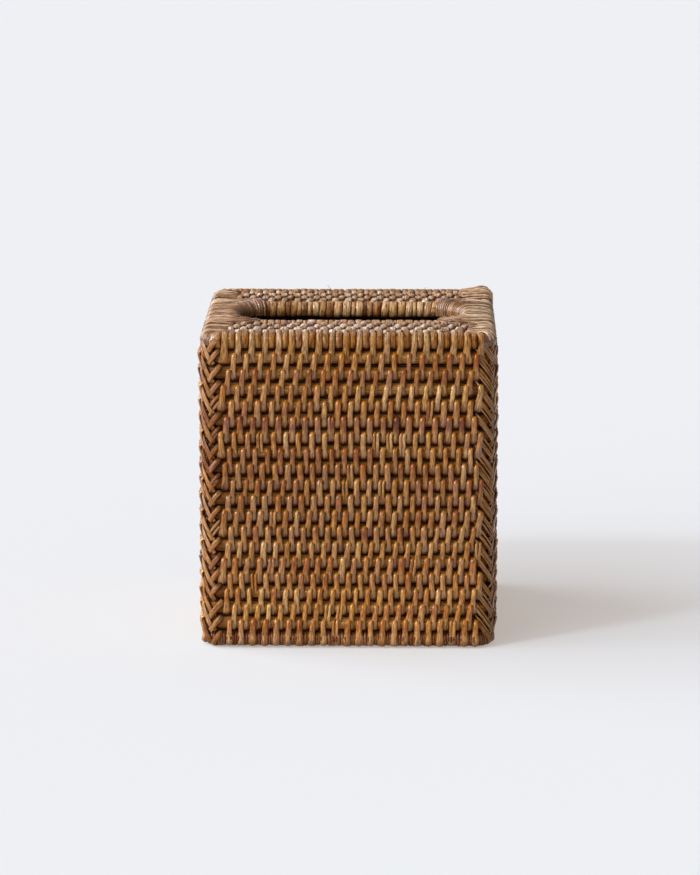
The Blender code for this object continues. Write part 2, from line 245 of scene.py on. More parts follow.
FOOT_LOW, FOOT_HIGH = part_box("wall_rod_01")
ROD_RADIUS = (FOOT_HIGH.z - FOOT_LOW.z) / 2
EDGE_X = FOOT_HIGH.x - ROD_RADIUS
EDGE_Y = FOOT_HIGH.y - ROD_RADIUS
WALL_RODS = sorted(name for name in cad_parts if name.startswith("wall_rod_"))
ROD_HEIGHTS = [middle_of(name).z for name in WALL_RODS]
TOP_Z = ROD_HEIGHTS[-1]
PITCH = ROD_HEIGHTS[1] - ROD_HEIGHTS[0]
PANEL_RODS = sorted(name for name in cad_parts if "_panel_rod_" in name)
PANEL_PLACES = [abs(middle_of(name).y) for name in PANEL_RODS if name.startswith("front")]
FIRST_PANEL_PLACE = min(PANEL_PLACES)
FAN_HALF = FIRST_PANEL_PLACE - ROD_RADIUS  # half the length of a side band's fan
HOOP_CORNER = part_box("slot_hoop")[1]
HOOP_X = HOOP_CORNER.x - ROD_RADIUS
HOOP_Y = HOOP_CORNER.y - ROD_RADIUS
HOOP_LENGTH = 4 * (HOOP_X + HOOP_Y) - (8 - 2 * math.pi) * HOOP_BEND
CORNER_ROUND = WALL_BEND + ROD_RADIUS  # outside of a wall's corner
CORE_CANE = {
    "Width": 2 * ROD_RADIUS, "Thickness": ROD_RADIUS, "Back Share": 1.0, "Roundness": 1.0,
    "Sides": ROD_SIDES, "Unevenness": 0.0,
}

# Each wall, going round to the right as seen from outside: the way out, the way to the right, how
# far out its rods lie, and half its length
WALLS = {
    "front": (Vector((0, -1, 0)), Vector((1, 0, 0)), EDGE_Y, EDGE_X),
    "right": (Vector((1, 0, 0)), Vector((0, 1, 0)), EDGE_X, EDGE_Y),
    "back": (Vector((0, 1, 0)), Vector((-1, 0, 0)), EDGE_Y, EDGE_X),
    "left": (Vector((-1, 0, 0)), Vector((0, -1, 0)), EDGE_X, EDGE_Y),
}
# The corner at the right end of each
CORNERS = {"front": "front_right", "right": "back_right", "back": "back_left", "left": "front_left"}


def feed(tree, node, inputs):
    """Sets a node's inputs. Each is a socket to link from, or a value."""
    for key, value in inputs.items():
        if isinstance(value, bpy.types.NodeSocket):
            tree.links.new(value, node.inputs[key])
        else:
            node.inputs[key].default_value = value


def add(tree, kind, inputs=None, **settings):
    """Adds a node with its settings and inputs."""
    made = tree.nodes.new(kind)
    for key, value in settings.items():
        setattr(made, key, value)
    feed(tree, made, inputs or {})
    return made


def put(tree, kind, inputs=None, out=0, **settings):
    """Adds a node and gives one of its outputs."""
    return add(tree, kind, inputs, **settings).outputs[out]


def maths(tree, operation, *values):
    """A Math node's result."""
    return put(tree, "ShaderNodeMath", dict(enumerate(values)), operation=operation)


def times(tree, first, *others):
    """The product of two or more numbers."""
    for value in others:
        first = maths(tree, "MULTIPLY", first, value)
    return first


def cane_laying_tree():
    """Sweeps a rounded strip along each drawn route: crown outwards, flat back to the work."""
    tree = bpy.data.node_groups.new("lay_split_cane", "GeometryNodeTree")
    for name, kind, start in (
        ("Routes", "NodeSocketGeometry", None),
        ("Width", "NodeSocketFloat", STITCH_WIDTH),
        ("Thickness", "NodeSocketFloat", STITCH_THICKNESS),
        ("Back Share", "NodeSocketFloat", 0.3),
        ("Roundness", "NodeSocketFloat", 0.8),
        ("Unevenness", "NodeSocketFloat", 0.1),
        ("Sides", "NodeSocketInt", 7),
        ("Seed", "NodeSocketInt", 1),
        ("Finish", "NodeSocketMaterial", None),
    ):
        socket = tree.interface.new_socket(name=name, in_out="INPUT", socket_type=kind)
        if start is not None:
            socket.default_value = start
    tree.interface.new_socket(name="Cane", in_out="OUTPUT", socket_type="NodeSocketGeometry")
    given = add(tree, "NodeGroupInput").outputs

    def stored(kind, name):
        return put(tree, "GeometryNodeInputNamedAttribute", {"Name": name}, data_type=kind)

    def store(geometry, name, value):
        inputs = {"Geometry": geometry, "Name": name, "Value": value}
        return put(tree, "GeometryNodeStoreNamedAttribute", inputs, data_type="FLOAT", domain="POINT")

    routes = put(tree, "GeometryNodeMeshToCurve", {"Mesh": given["Routes"]})
    facing = stored("FLOAT_VECTOR", "facing")
    inputs = {"Curve": routes, "Normal": facing}
    routes = put(tree, "GeometryNodeSetCurveNormal", inputs, mode="FREE")
    inputs = {
        2: maths(tree, "SUBTRACT", 1.0, given["Unevenness"]),
        3: maths(tree, "ADD", 1.0, given["Unevenness"]),
        "ID": stored("INT", "strand"),
        "Seed": given["Seed"],
    }
    unevenness = put(tree, "FunctionNodeRandomValue", inputs, 1, data_type="FLOAT")
    girth = times(tree, stored("FLOAT", "girth"), unevenness)
    routes = put(tree, "GeometryNodeSetCurveRadius", {"Curve": routes, "Radius": girth})
    routes = store(routes, "along", put(tree, "GeometryNodeSplineParameter", out="Length"))

    inputs = {"Resolution": given["Sides"], "Radius": 1.0}
    outline = put(tree, "GeometryNodeCurvePrimitiveCircle", inputs)
    turn = put(tree, "GeometryNodeSplineParameter", out="Factor")
    angle = maths(tree, "MULTIPLY_ADD", turn, 2 * math.pi, math.pi / 2)
    across, rise = maths(tree, "COSINE", angle), maths(tree, "SINE", angle)
    outline = store(store(outline, "across", across), "rise", rise)
    crowned = maths(tree, "POWER", maths(tree, "MAXIMUM", rise, 0.0), given["Roundness"])
    front_rise = times(tree, crowned, given["Thickness"])
    behind = times(tree, given["Thickness"], given["Back Share"])
    back_rise = times(tree, maths(tree, "MINIMUM", rise, 0.0), behind)
    half_width = times(tree, given["Width"], 0.5)
    place = vector(tree, maths(tree, "ADD", front_rise, back_rise), times(tree, across, half_width), 0)
    outline = put(tree, "GeometryNodeSetPosition", {"Geometry": outline, "Position": place})

    inputs = {"Curve": routes, "Profile Curve": outline, "Scale": girth, "Fill Caps": True}
    swept = put(tree, "GeometryNodeCurveToMesh", inputs)
    for name in ("facing", "girth", "strand"):
        swept = put(tree, "GeometryNodeRemoveAttribute", {"Geometry": swept, "Name": name})
    swept = put(tree, "GeometryNodeSetShadeSmooth", {"Geometry": swept})
    swept = put(tree, "GeometryNodeRealizeInstances", {"Geometry": swept})
    swept = put(tree, "GeometryNodeSetMaterial", {"Geometry": swept, "Material": given["Finish"]})
    add(tree, "NodeGroupOutput", {"Cane": swept})
    return tree


class Routes:
    """The routes of one piece's strands, as lines with the facts that the sweep needs."""

    def __init__(self):
        self.points, self.edges = [], []
        self.facts = {"facing": [], "girth": [], "tone": [], "batch": [], "strand": []}
        self.strands = 0

    def add(self, route, tone, closed=False, girth=1.0):
        """A route is a list of (point, direction of the crown, girth)."""
        first = len(self.points)
        batch = rng.random()
        for point, facing, own_girth in route:
            self.points.append(point)
            values = (facing, own_girth * girth, tone, batch, self.strands)
            for kept, value in zip(self.facts.values(), values):
                kept.append(value)
        last = len(self.points) - 1
        self.edges += [(place, place + 1) for place in range(first, last)]
        if closed:
            self.edges.append((last, first))
        self.strands += 1

    def mesh(self, name):
        """The routes as a mesh of edges."""
        data = bpy.data.meshes.new(name)
        data.from_pydata(self.points, self.edges, [])
        for fact, values in self.facts.items():
            kind = {"facing": "FLOAT_VECTOR", "strand": "INT"}.get(fact, "FLOAT")
            layer = data.attributes.new(fact, kind, "POINT")
            if kind == "FLOAT_VECTOR":
                layer.data.foreach_set("vector", [part for value in values for part in value])
            else:
                layer.data.foreach_set("value", values)
        return data


def lay(name, routes, finish, sizes, replaced=()):
    """Makes one piece of cane along the routes, as a plain mesh that rides on the cover."""
    item = bpy.data.objects.new(name, routes.mesh(name + "_routes"))
    bpy.context.scene.collection.objects.link(item)
    step = item.modifiers.new("lay", "NODES")
    step.node_group = CANE_TREE
    given = {**sizes, "Finish": finish}
    for socket in CANE_TREE.interface.items_tree:
        if socket.in_out == "INPUT" and socket.name in given:
            step[socket.identifier] = given[socket.name]
    graph = bpy.context.evaluated_depsgraph_get()
    data = bpy.data.meshes.new_from_object(item.evaluated_get(graph), depsgraph=graph)
    data.name = name
    item.modifiers.clear()
    item.data = data
    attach(item, "root")
    if replaced:
        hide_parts(*replaced)
    return item


def start_finish(name, roughness, coat_roughness=0.3, shine=0.3):
    """A material with the parts that every finish here has."""
    material = bpy.data.materials.new(name)
    material.use_nodes = True
    tree = material.node_tree
    shader = tree.nodes["Principled BSDF"]
    inputs = {"Roughness": roughness, "Coat Roughness": coat_roughness, "Specular IOR Level": shine}
    feed(tree, shader, inputs)
    return material, tree, shader


def fact(tree, name):
    """A strand's stored number."""
    return put(tree, "ShaderNodeAttribute", out="Fac", attribute_name=name)


def vector(tree, x, y, z):
    """Three numbers as a vector."""
    return put(tree, "ShaderNodeCombineXYZ", {"X": x, "Y": y, "Z": z})


def object_place(tree):
    """The place on the object, as it was made."""
    return put(tree, "ShaderNodeTexCoord", out="Object")


def noise(tree, place, scale=1.0, detail=2.0, roughness=0.5):
    """A noise value from 0 to 1."""
    inputs = {"Vector": place, "Scale": scale, "Detail": detail, "Roughness": roughness}
    return put(tree, "ShaderNodeTexNoise", inputs)


def ramp(tree, value, palette):
    """A colour picked from a palette."""
    made = add(tree, "ShaderNodeValToRGB", {"Fac": value})
    band = made.color_ramp
    while len(band.elements) < len(palette):
        band.elements.new(1.0)
    for element, place, color in zip(band.elements, COLOR_PLACES[len(palette)], palette):
        element.position = place
        element.color = (*color, 1.0)
    return made.outputs["Color"]


def spread(tree, value, low, high, to_low, to_high):
    """Maps a value's range to another."""
    inputs = {"Value": value, "From Min": low, "From Max": high, "To Min": to_low, "To Max": to_high}
    return put(tree, "ShaderNodeMapRange", inputs)


def mixed(tree, share, color, other):
    """A colour with a share of another."""
    return put(tree, "ShaderNodeMix", {0: share, 6: color, 7: other}, 2, data_type="RGBA")


def tinted(tree, color, share):
    """A colour made lighter by a number above 1, or darker and redder by one below it."""
    green = maths(tree, "POWER", share, DEPTH_OF_GREEN)
    blue = maths(tree, "POWER", share, DEPTH_OF_BLUE)
    shares = vector(tree, share, green, blue)
    return put(tree, "ShaderNodeVectorMath", {0: color, 1: shares}, operation="MULTIPLY")


def bump(tree, height, strength, depth):
    """A surface that rises and sinks with a noise."""
    return put(tree, "ShaderNodeBump", {"Strength": strength, "Distance": depth, "Height": height})


def by_height(tree, height):
    """How light the courses are: paler near the foot, and browner half-way up."""
    low = spread(tree, height, *FOOT_HEIGHTS, FOOT_PALE, MIDDLE_BROWN)
    high = spread(tree, height, *TOP_HEIGHTS, 1.0, 1 / MIDDLE_BROWN)
    return times(tree, low, high)


def cane_finish(
    name, palette, gloss=(0.34, 0.6), coat=(0.05, 1.0), coat_ior=1.5, shine=0.1, edge_share=0.5,
    tail_from=None, sheen_from=None, slot_shade_from=None, courses=False,
):
    """Split cane: its skin's colour by strand, fibres along it, blotches, and cut edges that are
    darker by edge_share, partly their own colour and partly painted shade of the strand's sides;
    its underside has painted shade too. gloss is its roughness in dark and light fibres, and coat the
    glaze of the dullest and the shiniest strands, with coat_ior. Past the length tail_from a strand
    is paler and duller, where it lies over the next rod, with less painted shade at its edges, and
    further on it has painted shade where it goes under the next stitch. Above the height sheen_from
    it is paler, a painted sheen on its top, and nearer than slot_shade_from to the middle of the slot
    it is browner, a painted shade inside the slot. With courses its shade follows its height."""
    material, tree, shader = start_finish(name, 0.45, 0.14, shine)
    along, across, rise = fact(tree, "along"), fact(tree, "across"), fact(tree, "rise")
    tone, batch = fact(tree, "tone"), fact(tree, "batch")
    sort = times(tree, batch, CANE_SORTS)
    place = vector(tree, times(tree, along, FIBRE_ALONG), times(tree, across, FIBRE_ACROSS), sort)
    fibres = noise(tree, place, detail=3.0, roughness=0.6)
    patches = noise(tree, vector(tree, times(tree, along, PATCH_ALONG), across, sort))
    own = maths(tree, "MULTIPLY_ADD", maths(tree, "SUBTRACT", batch, 0.5), OWN_SHARE, tone)
    picked = maths(tree, "MULTIPLY_ADD", maths(tree, "SUBTRACT", patches, 0.5), PATCH_SHARE, own)
    color = ramp(tree, picked, palette)
    shades = []
    if tail_from:
        # Painted shade at the tail's end, where it goes under the next stitch
        under = (tail_from + UNDER_FROM, tail_from + UNDER_TO)
        shades.append(spread(tree, along, *under, 1.0, UNDER_SHADE))
        tail_part = spread(tree, along, tail_from - TAIL_REACH, tail_from + TAIL_REACH, 0.0, TAIL_SHARE)
        # A tail's edges get less painted shade
        edge_share = maths(tree, "MULTIPLY_ADD", tail_part, -TAIL_SHARE * edge_share, edge_share)
        color = mixed(tree, tail_part, color, TAIL_COLOR)
    parts = add(tree, "ShaderNodeSeparateXYZ", {0: object_place(tree)}).outputs
    if courses:
        shades.append(by_height(tree, parts["Z"]))
    # Painted sheen: paler above the height sheen_from
    if sheen_from:
        sheen_part = spread(tree, parts["Z"], sheen_from, sheen_from + SHEEN_REACH, 0.0, SHEEN_SHARE)
        color = mixed(tree, sheen_part, color, SHEEN_COLOR)
    # Painted shade inside the slot's end
    if slot_shade_from:
        reach = maths(tree, "ABSOLUTE", parts["X"])
        slot_shade = spread(tree, reach, slot_shade_from - SLOT_SHADE_REACH, slot_shade_from, SLOT_SHADE_SHARE, 0.0)
        color = mixed(tree, slot_shade, color, SLOT_SHADE_COLOR)
    streaks = spread(tree, fibres, *MOST, 0.22, 1.66)
    # Edges darker by edge_share: partly the cut edges' own colour, partly painted shade of the strand's
    # sides
    edge = maths(tree, "POWER", maths(tree, "ABSOLUTE", across), 3.0)
    shades.append(maths(tree, "SUBTRACT", 1.0, times(tree, edge, edge_share)))
    # Painted shade on the strand's underside
    shades.append(spread(tree, rise, -0.2, 0.4, 0.5, 1.0))
    inputs = {
        "Base Color": tinted(tree, color, times(tree, streaks, *shades)),
        "Roughness": spread(tree, fibres, 0.3, 0.75, *gloss),
        "Coat Weight": spread(tree, batch, 0.2, 1.0, *coat),
        "Coat IOR": coat_ior,
        "Normal": bump(tree, fibres, 0.8, 0.16 * MM),
    }
    feed(tree, shader, inputs)
    return material


def core_finish(name, palette):
    """Bare rattan core: dull, with fine grain that runs along the rod, painted shade at the grooves,
    and painted shade with some stain under the plaits at the corners.
    """
    material, tree, shader = start_finish(name, 0.75, shine=0.1)
    along, across, rise = fact(tree, "along"), fact(tree, "across"), fact(tree, "rise")
    sort = times(tree, fact(tree, "batch"), CORE_SORTS)
    round_rod = maths(tree, "MULTIPLY_ADD", rise, GRAIN_ACROSS, sort)
    place = vector(tree, times(tree, along, GRAIN_ALONG), times(tree, across, GRAIN_ACROSS), round_rod)
    grain = noise(tree, place, detail=4.0, roughness=0.65)
    clouds = noise(tree, vector(tree, times(tree, along, CLOUD_ALONG), across, sort))
    grain_shade = spread(tree, grain, *MOST, 0.30, 1.66)
    # Painted shade: darker under a rod and at its crown, where the next rod shades it
    low = spread(tree, rise, -0.95, -0.5, GROOVE_SHADE, 1.0)
    high = spread(tree, rise, 0.82, 1.0, 1.0, GROOVE_SHADE)
    parts = add(tree, "ShaderNodeSeparateXYZ", {0: object_place(tree)}).outputs
    # Painted shade, with some real stain, on the rods near the corners under the plaits
    sideways = [maths(tree, "ABSOLUTE", parts[name]) for name in ("X", "Y")]
    nearness = maths(tree, "MINIMUM", *sideways)
    corner = spread(tree, nearness, CORNER_FROM, CORNER_FROM + CORNER_REACH, 1.0, CORNER_SHADE)
    place_shade = times(tree, corner, by_height(tree, parts["Z"]))
    shade = times(tree, grain_shade, times(tree, low, high), place_shade)
    inputs = {
        "Base Color": tinted(tree, ramp(tree, clouds, palette), shade),
        "Roughness": spread(tree, grain, *MOST, 0.85, 0.6),
        "Normal": bump(tree, grain, 0.7, 0.2 * MM),
    }
    feed(tree, shader, inputs)
    return material


def solid_finish(name, palette):
    """Cane deep between the rods, where its dark palette is painted shade, and the hoop's core, in
    object coordinates, for the solids that stay.
    """
    material, tree, shader = start_finish(name, 0.8)
    grain = noise(tree, object_place(tree), 900.0, detail=3.0)
    inputs = {"Base Color": ramp(tree, grain, palette), "Normal": bump(tree, grain, 0.5, 0.1 * MM)}
    feed(tree, shader, inputs)
    return material


CANE_TREE = cane_laying_tree()
STITCH_FINISH = cane_finish(
    "stitching_cane", WALL_PALETTE, coat=(0.4, 1.0), coat_ior=GLAZE_IOR, tail_from=0.0092, courses=True
)
EDGE_FINISH = cane_finish("edge_cane", EDGE_PALETTE, sheen_from=TOP_Z + 0.0027, edge_share=0.25)
TOP_FINISH = cane_finish("top_cane", TOP_PALETTE, gloss=(0.42, 0.62), coat=(0.02, 0.35))
BAND_FINISH = cane_finish(
    "fanned_cane", BAND_PALETTE, coat=(0.5, 1.0), coat_ior=GLAZE_IOR, slot_shade_from=0.0600
)
WRAP_FINISH = cane_finish("wrapping_cane", HOOP_PALETTE, sheen_from=TOP_Z + 0.002)
PLAIT_FINISH = cane_finish("plaited_cane", PLAIT_PALETTE, coat=(0.1, 0.7))
INNER_FINISH = cane_finish("inner_cane", INNER_PALETTE, gloss=(0.8, 0.95), coat=(0.0, 0.0), shine=0.0)
CORE_FINISH = core_finish("bare_core", CORE_PALETTE)
DEEP_SHADE_FINISH = solid_finish("shaded_cane_between_rods", DEEP_SHADE_PALETTE)
SOLID_CORE = solid_finish("hoop_core", HOOP_CORE_PALETTE)


def on_wall(wall, along, out, height):
    """A place by a wall, and the outward direction there. Past its end the wall goes round."""
    outward, right, edge, half = WALLS[wall]
    straight = half - WALL_BEND
    past = abs(along) - straight
    if past <= 0:
        return outward * out + right * along + UP * height, outward
    side = math.copysign(1, along)
    turn = past / CORNER_ROUND
    corner = outward * (edge - WALL_BEND) + right * (side * straight)
    radius = out - (edge - WALL_BEND)
    if turn <= math.pi / 2:
        heading = outward * math.cos(turn) + right * (side * math.sin(turn))
        return corner + heading * radius + UP * height, heading
    beyond = past - CORNER_ROUND * math.pi / 2
    heading = right * side
    return corner + heading * radius - outward * beyond + UP * height, heading


def drift(*reach):
    """A random length between two numbers of millimetres, or up to one number either way."""
    low, high = reach if len(reach) == 2 else (-reach[0], reach[0])
    return rng.uniform(low, high) * MM


def turned(direction):
    """A direction of the section, turned a quarter to the left."""
    return Vector((-direction.y, direction.x))


class Chain:
    """Rods side by side, as middles and radii in the plane (out, up), in stitching order."""

    def __init__(self, rods):
        self.middles = [Vector(place) for place, _ in rods]
        self.radii = [radius for _, radius in rods]
        steps = zip(self.middles, self.middles[1:])
        self.runs = [(after - before).normalized() for before, after in steps]
        self.runs.append(self.runs[-1])

    def by_rod(self, rod, groove, degrees, lift):
        """A point on a rod, turned back from the crown that the groove gives it, and its normal."""
        run = self.runs[groove]
        turn = math.radians(degrees)
        normal = turned(run) * math.cos(turn) - run * math.sin(turn)
        return self.middles[rod] + normal * (self.radii[rod] + lift), normal

    def over_groove(self, groove, lift):
        """The point over the middle of a groove."""
        crown = turned(self.runs[groove])
        first = self.middles[groove] + crown * self.radii[groove]
        second = self.middles[groove + 1] + crown * self.radii[groove + 1]
        return (first + second) / 2 + crown * lift, crown


# A stitch's heads: degrees before a rod's crown, lift and sideways shift in millimetres, and girth
HEAD = (
    (50, -1.1, 1.1, 0.62), (39, -0.05, 0.9, 0.78), (27, 0.85, 0.45, 0.90), (12, 1.28, 0.12, 0.93),
    (-5, 1.05, 0.0, 0.92),
)
LONG_HEAD = (
    (118, -0.6, 0.2, 0.90), (104, 0.35, 0.1, 0.92), (88, 0.65, 0.0, 0.92), (62, 0.7, 0.0, 0.92),
    (36, 0.75, 0.0, 0.92), (11, 0.8, 0.0, 0.93), (-6, 0.7, 0.0, 0.95),
)
LOW_HEAD = (
    (128, -1.8, 0.2, 0.95), (108, -0.3, 0.1, 1.0), (88, 0.2, 0.0, 1.05), (62, 0.4, 0.0, 1.05),
    (36, 0.5, 0.0, 1.0), (11, 0.7, 0.0, 0.95), (-6, 0.7, 0.0, 0.95),
)
PANEL_HEAD = (
    (60, -1.2, 1.0, 0.85), (46, -0.35, 0.9, 0.95), (30, 0.1, 0.7, 1.02), (10, 0.25, 0.35, 1.05),
    (-8, 0.2, 0.1, 1.05),
)
SIDE_HEAD = ((-26, -1.3, 0.3, 0.8), (-42, -0.3, 0.2, 0.9), (-56, 0.25, 0.1, 0.95))
# Its ways over to the next rod and down it: degrees, lift and girth
OVER = ((20, -0.35, 1.20), (0, -0.8, 1.48))
PANEL_OVER = ((22, -0.05, 1.02), (2, 0.18, 1.05))
TAIL = (
    (-20, -0.88, 1.68), (-42, -0.92, 1.80), (-58, -0.98, 1.80), (-68, -1.7, 1.62), (-80, -2.6, 1.2)
)
PANEL_TAIL = ((-16, 0.18, 1.05), (-32, 0.0, 1.02), (-48, -0.6, 0.95), (-64, -1.4, 0.85))
EDGE_TAIL = (
    (-24, 0.1, 1.0), (-44, 0.1, 1.0), (-60, -0.2, 0.98), (-72, -1.0, 0.9), (-82, -1.9, 0.8)
)
FOOT_TAIL = ((-24, 0.2, 1.25), (-40, 0.2, 1.25), (-52, 0.0, 1.15), (-62, -0.8, 1.0))


def stitch(chain, groove, head=HEAD, over=OVER, tail=TAIL, lean=0.0, dip=0.0):
    """One stitch over a groove: raised head, crossing, and the run down the next rod."""
    spots = []
    start = rng.uniform(*HEAD_TURN)
    rise = drift(*HEAD_RISE)
    for degrees, up, side, girth in head:
        raised = up * MM + (rise if degrees < RISE_FROM else 0)
        where = chain.by_rod(groove, groove, degrees + start, raised)
        spots.append((*where, side * MM - lean * 0.5, girth))
    spots.append((*chain.over_groove(groove, 0.06 * MM + rise / 2 - dip), 0.0, 1.0))
    rod = groove + 1
    for degrees, up, girth in over:
        spots.append((*chain.by_rod(rod, groove, degrees, up * MM), lean * 0.4, girth))
    corner = chain.runs[rod].angle_signed(chain.runs[groove])
    bends = EDGE_BENDS if abs(corner) > 1 else 0
    for bend in range(1, bends + 1):
        degrees = -90 * bend / bends
        spots.append((*chain.by_rod(rod, groove, degrees, 0.12 * MM), lean * 0.4, 1.0))
    end = rng.uniform(*TAIL_TURN)
    for degrees, up, girth in tail:
        spots.append((*chain.by_rod(rod, rod, degrees + end, up * MM), lean * 0.5, girth))
    return spots


def place_spots(spots, wall, along):
    """A stitch's spots as a route on a wall."""
    route = []
    for place, normal, shift, girth in spots:
        point, outward = on_wall(wall, along + shift, place.x, max(place.y, LOWEST))
        route.append((point, outward * normal.x + UP * normal.y, girth))
    return route


class Tones:
    """Tones along a row: one long strand after another, each with its own colour, width and lean."""

    def __init__(self, low=0.3, high=0.75, change=0.13, longest=26, shift=0.0):
        self.base = rng.uniform(low, high) + shift
        self.change = change
        self.longest = longest
        self.left = 0

    def step(self):
        """The next stitch's tone and girth, from a new strand when the last one is used up."""
        if self.left <= 0:
            self.left = rng.randint(self.longest // 4, self.longest)
            self.tone = min(0.95, max(0.1, self.base + rng.gauss(0, self.change)))
            self.girth = rng.uniform(0.9, 1.08)
            self.lean = drift(-0.9, 0.3)
        self.left -= 1
        return self.tone + rng.gauss(0, 0.06), self.girth * rng.uniform(0.94, 1.07)


def row_tone(row):
    """How much lighter a row's strands are than the usual."""
    for (low, start), (high, end) in zip(ROW_TONES, ROW_TONES[1:]):
        if row <= high:
            return start + (end - start) * (row - low) / (high - low)
    return ROW_TONES[-1][1]


def row_pitch(row, rows):
    """The stitches come closer from the top courses down to the foot, less and less so."""
    share = max(0, row - EVEN_ROWS) / (rows - 1 - EVEN_ROWS)
    return TOP_PITCH + (FOOT_PITCH - TOP_PITCH) * (1 - (1 - share) ** 2)


def wall_chain(edge, inner=False, top=()):
    """The rods of one wall from the top down, after those of the top that are given."""
    side = -1 if inner else 1
    rods = [((side * edge, height), ROD_RADIUS) for height in reversed(ROD_HEIGHTS)]
    return Chain([*top, *rods])


def stitch_row(routes, chain, groove, wall, places, tones, **how):
    """A row of stitches at the given places along a wall."""
    for along in places:
        tone, girth = tones.step()
        spots = stitch(chain, groove, lean=tones.lean + drift(0.3), **how)
        along += drift(0.3)
        if rng.random() < SPLIT_CHANCE:
            for side in (-1, 1):
                route = place_spots(spots, wall, along + side * STITCH_WIDTH * SPLIT_APART)
                routes.add(route, tone + side * SPLIT_TONE, girth=girth * SPLIT_GIRTH)
            continue
        routes.add(place_spots(spots, wall, along), tone, girth=girth)


def row_places(start, pitch, low, high):
    """Places at a pitch, in step with the start, between two ends."""
    first = math.ceil((low - start) / pitch)
    last = math.floor((high - start) / pitch)
    return [start + pitch * step for step in range(first, last + 1)]


def ring(height, sink, steps=6):
    """A closed way round the inside of the walls, sunk towards the rods' middles."""
    route = []
    for wall, (_, _, edge, half) in WALLS.items():
        straight = half - WALL_BEND
        turns = [CORNER_ROUND * math.pi / 2 * step / steps for step in range(steps)]
        for along in (-straight + 0.5 * MM, *(straight + turn for turn in turns)):
            point, outward = on_wall(wall, along, edge - sink, height)
            route.append((point, -outward, 1.0))
    return route


def course_stitching():
    """The stitches outside and inside of each course, round all four walls."""
    grooves = len(ROD_HEIGHTS) - 1
    starts = {wall: -STITCH_START for wall in WALLS}
    for row in range(grooves):
        routes, inner = Routes(), Routes()
        pitch = row_pitch(row, grooves)
        tones, dull = Tones(0.32, 0.70, shift=row_tone(row)), Tones(0.2, 0.5)
        head = HEAD if row else SIDE_HEAD
        tail = FOOT_TAIL if row == grooves - 1 else TAIL
        for wall, (_, _, edge, _) in WALLS.items():
            places = row_places(starts[wall], pitch, -STITCH_LEFT, STITCH_RIGHT)
            if row == 0 and wall in ("front", "back"):
                edge_stitching(wall, places, pitch)
            else:
                stitch_row(routes, wall_chain(edge), row, wall, places, tones, head=head, tail=tail)
            starts[wall] = places[0] - ROW_SHIFT_SHARE * pitch
        for outward, right, edge, half in WALLS.values():
            chain = wall_chain(edge, inner=True)
            reach = half - CORNER_ROUND
            for along in row_places(rng.uniform(0, pitch), pitch, -reach, reach):
                tone, girth = dull.step()
                route = []
                for place, normal, shift, size in stitch(chain, row):
                    point = -outward * place.x - right * (along + shift) + UP * max(place.y, LOWEST)
                    route.append((point, -outward * normal.x + UP * normal.y, size))
                inner.add(route, tone, girth=girth)
        groove_height = (ROD_HEIGHTS[-1 - row] + ROD_HEIGHTS[-2 - row]) / 2
        inner.add(ring(groove_height, 1.2 * MM), 0.2, closed=True, girth=0.7)
        number = f"{grooves - row:02d}"
        sizes = {**COURSE_CANE, "Seed": row}
        lay(f"course_stitching_{number}", routes, STITCH_FINISH, sizes)
        sizes = {**INNER_CANE, "Seed": row}
        lay(f"inner_stitching_{number}", inner, INNER_FINISH, sizes)


def panel_chain():
    """The rods of one half of the top from the slot outwards, and then those of the wall."""
    rods = [((place, TOP_Z), ROD_RADIUS) for place in sorted(PANEL_PLACES)]
    before = (rods[0][0][0] - PITCH, TOP_Z)
    return wall_chain(EDGE_Y, top=[(before, ROD_RADIUS), *rods]), len(rods)


def edge_stitching(wall, places, pitch):
    """Over the edge of the top: long light stitches, and short ones from the last panel rod."""
    chain, last = panel_chain()
    light, honey = Tones(0.78, 0.86, 0.06), Tones(0.24, 0.44, 0.08)
    routes = Routes()
    for along in [places[0] - pitch, *places]:
        tone, girth = honey.step()
        spots = stitch(chain, last, PANEL_HEAD, PANEL_OVER, EDGE_TAIL, dip=0.7 * MM)
        along += pitch / 2 + drift(0.2)
        routes.add(place_spots(spots, wall, min(along, STITCH_RIGHT)), tone, girth=girth * 1.2)
    head = LONG_HEAD if wall == "front" else LOW_HEAD
    stitch_row(routes, chain, last + 1, wall, places, light, head=head, tail=TAIL)
    lay(f"{wall}_edge_stitching", routes, EDGE_FINISH, EDGE_CANE)


def top_stitching():
    """The stitches of the top panel's rods, before and behind the slot."""
    reach = BAND_INNER_X - 2.2 * MM
    for wall in ("front", "back"):
        routes = Routes()
        chain, last = panel_chain()
        start = TOP_PITCH * 0.5 + PANEL_SHIFT_SHARE * TOP_PITCH * last
        for groove in range(last):
            tones = Tones(0.42, 0.58, 0.13, 10)
            for along in row_places(start, TOP_PITCH, -reach, reach):
                tone, girth = tones.step()
                spots = stitch(chain, groove, PANEL_HEAD, PANEL_OVER, PANEL_TAIL, -2.3 * MM, 1.1 * MM)
                if groove == 0:  # it comes out from under the hoop
                    spots = spots[4:]
                    spots[0] = (spots[0][0] - Vector((0, 2.2 * MM)), *spots[0][1:])
                along += drift(0.3)
                routes.add(place_spots(spots, wall, along), tone, girth=girth)
            start -= PANEL_SHIFT_SHARE * TOP_PITCH
        lay(f"{wall}_panel_stitching", routes, TOP_FINISH, PANEL_CANE)


def hoop_place(distance):
    """A point so far along the hoop, clockwise from the middle of its back, and the way on."""
    radius = HOOP_BEND
    along, across = HOOP_X - radius, HOOP_Y - radius
    distance %= HOOP_LENGTH
    point, heading = Vector((0, HOOP_Y)), 0.0
    for straight in (along, 2 * across, 2 * along, 2 * across, along):
        step = min(distance, straight)
        point += step * Vector((math.cos(heading), math.sin(heading)))
        distance -= step
        turn = min(distance / radius, math.pi / 2)
        point += radius * Vector((math.sin(heading), -math.cos(heading)))
        heading -= turn
        point -= radius * Vector((math.sin(heading), -math.cos(heading)))
        distance -= turn * radius
    return Vector((point.x, point.y, TOP_Z)), Vector((math.cos(heading), math.sin(heading), 0))


